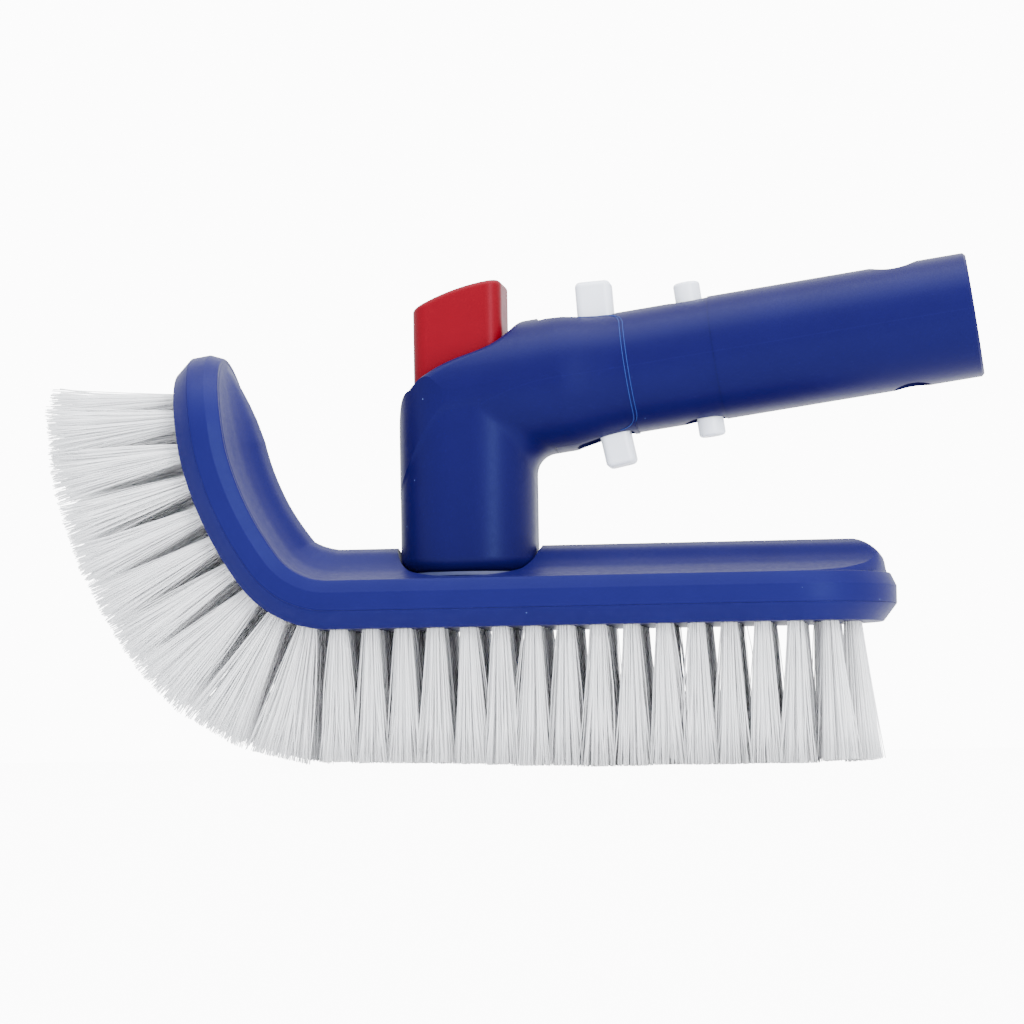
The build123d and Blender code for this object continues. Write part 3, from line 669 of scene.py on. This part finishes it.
def blue_plastic(name, base, light, rough=0.4, parting=None):
    """Moulded polypropylene: fine spark-eroded texture, faint flow marks, dust and tiny nicks."""
    n = Nodes(name)
    place = n.place()
    cloud = n.noise(26.0, 4.0, 0.6, place)
    colour = n.mix(n.math("MULTIPLY", cloud, 0.55), base, light)
    flow = n.noise(90.0, 2.0, 0.4, place)
    colour = n.mix(n.math("MULTIPLY", n.math("SUBTRACT", flow, 0.5, True), 0.5), colour, light)
    speck = n.add("ShaderNodeTexVoronoi", {"feature": "F1"}, Scale=SPECK_CELLS, Vector=place)
    pick = n.add("ShaderNodeSeparateColor", None, Color=speck.outputs["Color"])
    chosen = n.math("GREATER_THAN", pick.outputs[0], 1 - SPECK_SHARE)
    size = n.math("MULTIPLY", pick.outputs[1], SPECK_R)
    dot = n.math("LESS_THAN", speck.outputs["Distance"], size)
    specks = n.math("MULTIPLY", n.math("MULTIPLY", chosen, dot), 0.75)
    colour = n.mix(specks, colour, SPECK_BLUE)
    scuff = n.noise(210.0, 5.0, 0.7, place)
    scuffs = n.ramp(scuff, [(0.0, (0, 0, 0)), (0.70, (0, 0, 0)), (0.8, (1, 1, 1))])
    layers = [(n.noise(2600.0, 2.0, 0.6, place), 0.00005, 0.35), (cloud, 0.0006, 0.12)]
    if parting:
        mask = parting(n, place)
        colour = n.mix(n.math("MULTIPLY", mask, 0.3), colour, light)
        layers.append((mask, 0.00004, 0.5))
    n.set(Base_Color=colour)
    fine = n.math("MULTIPLY", n.noise(700.0, 3.0, 0.6, place), 0.16)
    n.set(Roughness=n.math("ADD", n.math("ADD", fine, rough - 0.08), n.math("MULTIPLY", scuffs, 0.12)))
    n.bump(layers)
    n.shader.inputs["Specular IOR Level"].default_value = 0.1
    n.shader.inputs["Specular Tint"].default_value = (0.35, 0.5, 1.0, 1)
    return n.material


def tube_parting(n, place):
    """The mould line along the tube's side."""
    h, _, _ = tube_height(n, place)
    return line_mask(n, h, MOULD_LINE)


def handle_parting(n, place):
    """The mould line on the elbow's side: along the tube's axis, then down across the neck."""
    h, a, split = tube_height(n, place)
    on_elbow = n.math("LESS_THAN", a, ELBOW_LINE_END)
    along = n.math("MULTIPLY", line_mask(n, h, MOULD_LINE), on_elbow)
    # A parabola on the neck, highest near the elbow's inner bend and slightly tilted.
    x = n.math("SUBTRACT", split.outputs[0], (SWIVEL_X + 22.0) * MM)
    drop = n.math("MULTIPLY", n.math("MULTIPLY", x, x), -11.0)
    bend_z = n.math("SUBTRACT", n.math("SUBTRACT", split.outputs[2], 0.0882), drop)
    tilted = n.math("SUBTRACT", bend_z, n.math("MULTIPLY", x, 0.14))
    on_neck = n.math("GREATER_THAN", a, ELBOW_LINE_END)
    curve = n.math("MULTIPLY", line_mask(n, tilted, 0.0002), on_neck)
    clip = n.math("GREATER_THAN", split.outputs[0], (SWIVEL_X + 3.0) * MM)
    return n.math("MAXIMUM", along, n.math("MULTIPLY", n.math("MULTIPLY", curve, clip), 0.8))


def red_plastic():
    """The release button's smooth moulded plastic."""
    n = Nodes("red_button")
    place = n.place()
    cloud = n.noise(60.0, 3.0, 0.5, place)
    colour = n.mix(cloud, (0.082, 0.00005, 0.0022), (0.115, 0.0002, 0.0042))
    n.set(Base_Color=colour)
    n.set(Roughness=n.math("ADD", n.math("MULTIPLY", n.noise(300.0, 3.0, 0.6, place), 0.12), 0.36))
    n.bump([(n.noise(1500.0, 2.0, 0.5, place), 0.00002, 0.1), (cloud, 0.0004, 0.08)])
    n.shader.inputs["Specular IOR Level"].default_value = 0.15
    n.shader.inputs["Specular Tint"].default_value = (1.0, 0.35, 0.5, 1)
    return n.material


def white_nylon(name, base, shade, weight, rough):
    """Milky moulded nylon. weight is the share of light that scatters under its surface."""
    n = Nodes(name)
    place = n.place()
    cloud = n.noise(140.0, 3.0, 0.5, place)
    n.set(Base_Color=n.mix(cloud, base, shade))
    n.set(Roughness=n.math("ADD", n.math("MULTIPLY", n.noise(800.0, 2.0, 0.5, place), 0.12), rough))
    n.bump([(n.noise(1300.0, 2.0, 0.5, place), 0.00005, 0.3)])
    n.shader.inputs["Subsurface Weight"].default_value = weight
    n.shader.inputs["Subsurface Radius"].default_value = (0.003, 0.003, 0.0035)
    return n.material


def bristle_material():
    """White nylon filaments, each with a shade of its own."""
    n = Nodes("bristle")
    place = n.place()
    tone = n.add("ShaderNodeAttribute", {"attribute_name": "tone"}).outputs["Fac"]
    colour = n.mix(tone, (0.9, 0.92, 0.96), (0.99, 0.99, 1.0))
    streak = n.noise(500.0, 2.0, 0.5, place)
    n.set(Base_Color=n.mix(n.math("MULTIPLY", streak, 0.3), colour, (0.95, 0.96, 0.98)))
    n.set(Roughness=n.math("ADD", n.math("MULTIPLY", streak, 0.15), 0.32))
    # Nylon filament lets more than half of the light through.
    through = n.add("ShaderNodeBsdfTranslucent", None, Color=(1.0, 1.0, 1.0, 1))
    both = n.add("ShaderNodeMixShader", None, i0=0.6, i1=n.shader.outputs[0], i2=through.outputs[0])
    n.put(n.tree.nodes["Material Output"], "Surface", both.outputs[0])
    return n.material


def metal(name, base, rough):
    """Drawn or turned metal, with a grain along Z."""
    n = Nodes(name)
    place = n.place()
    stretch = n.add("ShaderNodeMapping", None, Vector=place, Scale=(1.0, 1.0, 22.0)).outputs[0]
    grain = n.noise(900.0, 3.0, 0.6, stretch)
    n.set(Base_Color=n.mix(grain, base, tuple(c * 0.7 for c in base)))
    n.set(Roughness=n.math("ADD", n.math("MULTIPLY", grain, 0.2), rough))
    n.bump([(grain, 0.00003, 0.3)])
    n.shader.inputs["Metallic"].default_value = 1.0
    return n.material


def rubber():
    """Dull dark rubber."""
    n = Nodes("dark_gasket")
    place = n.place()
    n.set(Base_Color=n.mix(n.noise(120.0, 3.0, 0.6, place), (0.006, 0.01, 0.045), (0.012, 0.02, 0.08)))
    n.set(Roughness=n.math("ADD", n.math("MULTIPLY", n.noise(900.0, 3.0, 0.6, place), 0.2), 0.5))
    n.bump([(n.noise(1800.0, 2.0, 0.5, place), 0.00005, 0.5)])
    return n.material


BLUE, BLUE_LIGHT = (0.0024, 0.0010, 0.028), (0.0047, 0.0031, 0.054)
SHELL_BLUE, SHELL_LIGHT = (0.0036, 0.0027, 0.042), (0.0082, 0.0076, 0.080)


def make_materials():
    """The material of every slot in the record."""
    return {
        "blue_shell": blue_plastic("blue_shell", SHELL_BLUE, SHELL_LIGHT, 0.42),
        "blue_block": blue_plastic("blue_block", SHELL_BLUE, SHELL_LIGHT, 0.45),
        "blue_handle": blue_plastic("blue_handle", BLUE, BLUE_LIGHT, 0.38, handle_parting),
        "blue_tube": blue_plastic("blue_tube", BLUE, BLUE_LIGHT, 0.38, tube_parting),
        "dark_gasket": rubber(),
        "white_nylon": white_nylon("white_nylon", (0.58, 0.62, 0.7), (0.68, 0.71, 0.78), 0.2, 0.35),
        "clip_nylon": white_nylon("clip_nylon", (0.58, 0.61, 0.7), (0.69, 0.72, 0.79), 0.5, 0.28),
        "red_button": red_plastic(),
        "bristle": bristle_material(),
        "stainless": metal("stainless", (0.58, 0.58, 0.6), 0.25),
        "anchor_brass": metal("anchor_brass", (0.72, 0.52, 0.22), 0.3),
    }


def dress():
    """Gives every CAD node its slot's material, and returns the materials by slot."""
    materials = make_materials()
    slots = {p["node"]: p["material_slot"] for p in frame["record"]["subparts"]}
    for node, obj in frame["nodes"].items():
        obj.data.materials.clear()
        obj.data.materials.append(materials[slots[node]])
    return materials


# ---- the scene ----


def make_camera():
    """The photograph's view."""
    data = bpy.data.cameras.new("camera")
    data.lens, data.sensor_width = CAMERA_LENS, 36.0
    data.clip_start, data.clip_end = 0.01, 50.0
    camera = bpy.data.objects.new("camera", data)
    bpy.context.scene.collection.objects.link(camera)
    look = (CAMERA_TARGET - CAMERA_AT).to_track_quat("-Z", "Y").to_matrix().to_4x4()
    camera.matrix_world = Matrix.Translation(CAMERA_AT) @ look @ Matrix.Rotation(CAMERA_ROLL, 4, "Z")
    bpy.context.scene.camera = camera


def area_light(name, at, target, size, power):
    """A soft rectangular light at a place, turned towards a target."""
    data = bpy.data.lights.new(name, "AREA")
    data.shape, data.size, data.size_y = "RECTANGLE", size[0], size[1]
    data.energy = power
    light = bpy.data.objects.new(name, data)
    bpy.context.scene.collection.objects.link(light)
    light.matrix_world = Matrix.Translation(Vector(at)) @ (
        (Vector(target) - Vector(at)).to_track_quat("-Z", "Y").to_matrix().to_4x4())


def make_lights():
    """Soft light from all round, with a brighter white behind the object as in a cut-out photo."""
    world = bpy.data.worlds.new("studio")
    world.use_nodes = True
    tree = world.node_tree
    lit = tree.nodes["Background"]
    lit.inputs["Color"].default_value = (0.93, 0.96, 1, 1)
    lit.inputs["Strength"].default_value = LIT
    seen = tree.nodes.new("ShaderNodeBackground")
    seen.inputs["Color"].default_value = (1, 1, 1, 1)
    seen.inputs["Strength"].default_value = WHITE
    path = tree.nodes.new("ShaderNodeLightPath")
    both = tree.nodes.new("ShaderNodeMixShader")
    tree.links.new(path.outputs["Is Camera Ray"], both.inputs[0])
    tree.links.new(lit.outputs[0], both.inputs[1])
    tree.links.new(seen.outputs[0], both.inputs[2])
    tree.links.new(both.outputs[0], tree.nodes["World Output"].inputs["Surface"])
    bpy.context.scene.world = world
    area_light("overhead", (0.05, -0.15, 0.8), (0, 0, 0.05), (0.9, 0.6), 14)
    area_light("front_right", (0.6, -0.9, 0.35), (0, 0, 0.06), (0.35, 0.9), 22)


def make_floor():
    """A wide pale floor, which the camera sees as nearly the background's white."""
    size = 30.0
    mesh = bpy.data.meshes.new("floor")
    mesh.from_pydata([(-size, -size, 0), (size, -size, 0), (size, size, 0), (-size, size, 0)], [],
                     [(0, 1, 2, 3)])
    floor = bpy.data.objects.new("floor", mesh)
    bpy.context.scene.collection.objects.link(floor)
    n = Nodes("floor")
    grain = n.noise(3.0, 2.0, 0.5)
    n.set(Base_Color=n.mix(grain, (0.9, 0.9, 0.9), (0.93, 0.93, 0.93)))
    n.shader.inputs["Roughness"].default_value = 0.6
    glow = n.add("ShaderNodeEmission", None, Color=(1, 1, 1, 1), Strength=WHITE)
    path = n.add("ShaderNodeLightPath")
    both = n.add("ShaderNodeMixShader", None, i1=n.shader.outputs[0], i2=glow.outputs[0],
                 i0=n.math("MULTIPLY", path.outputs["Is Camera Ray"], 0.93))
    n.put(n.tree.nodes["Material Output"], "Surface", both.outputs[0])
    mesh.materials.append(n.material)


materials = dress()
for piece, node, slot in ((make_shell(), "back_shell", "blue_shell"),
                          (make_hub(), "back_shell", "blue_shell"),
                          (make_block(), "bristle_block", "blue_block")):
    piece.data.materials.append(materials[slot])
    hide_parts(node)
    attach(piece, "head")
for piece in make_tufts():
    piece.data.materials.append(materials["bristle"])
spring = make_spring()
spring.data.materials.append(materials["stainless"])
# A paler blue for the joint's beads: a painted highlight along the joint's edges.
painted_highlight_blue = blue_plastic("blue_handle_painted_highlight", (0.012, 0.03, 0.15), (0.025, 0.055, 0.22), 0.35)
for piece in make_painted_joint_highlights():
    piece.data.materials.append(painted_highlight_blue)
make_camera()
make_lights()
make_floor()
